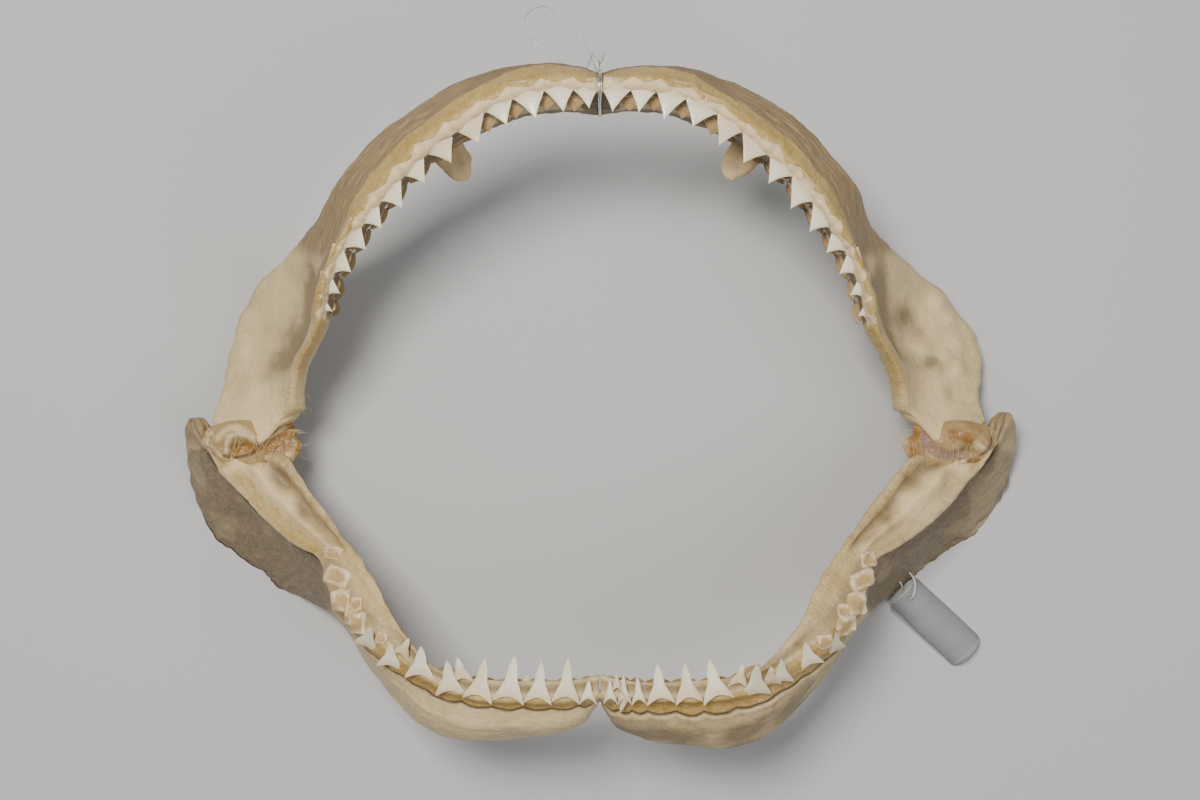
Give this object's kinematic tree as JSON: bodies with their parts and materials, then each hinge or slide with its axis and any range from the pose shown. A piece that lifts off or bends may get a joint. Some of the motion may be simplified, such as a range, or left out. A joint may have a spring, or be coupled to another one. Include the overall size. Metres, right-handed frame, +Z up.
{
  "type": "shark jaws",
  "caption": "Dried, opened shark jaws: toothed upper and lower halves in a ring, wired at the upper front, tied at the hinges, with a hanging line and a blank paper tag on a thread.",
  "frame": {"origin": "on the table, under the middle of the jaws' bounding box without the hanging line, thread and tag", "axes": "+X across the jaws to the picture's right, +Y from the lower jaw to the upper jaw, +Z up out of the mouth; the jaws lie on their rear edges"},
  "size_m": [0.4414, 0.3858, 0.1369],
  "materials": {
    "dried_cartilage": "dry, slightly waxy cartilage with enamel teeth",
    "dried_ligament": "dried, half-glossy sinew",
    "tie_wire": "bright wire",
    "nylon_line": "clear line",
    "tag_paper": "matt card",
    "tag_thread": "cotton"
  },
  "bodies": {
    "root": {"upper_jaw_left": "dried_cartilage", "upper_jaw_right": "dried_cartilage", "lower_jaw_left": "dried_cartilage", "lower_jaw_right": "dried_cartilage", "joint_ligament_left": "dried_ligament", "joint_ligament_right": "dried_ligament", "symphysis_wire": "tie_wire", "hanging_line": "nylon_line", "paper_tag": "tag_paper", "tag_thread": "tag_thread"}
  },
  "joints": []
}
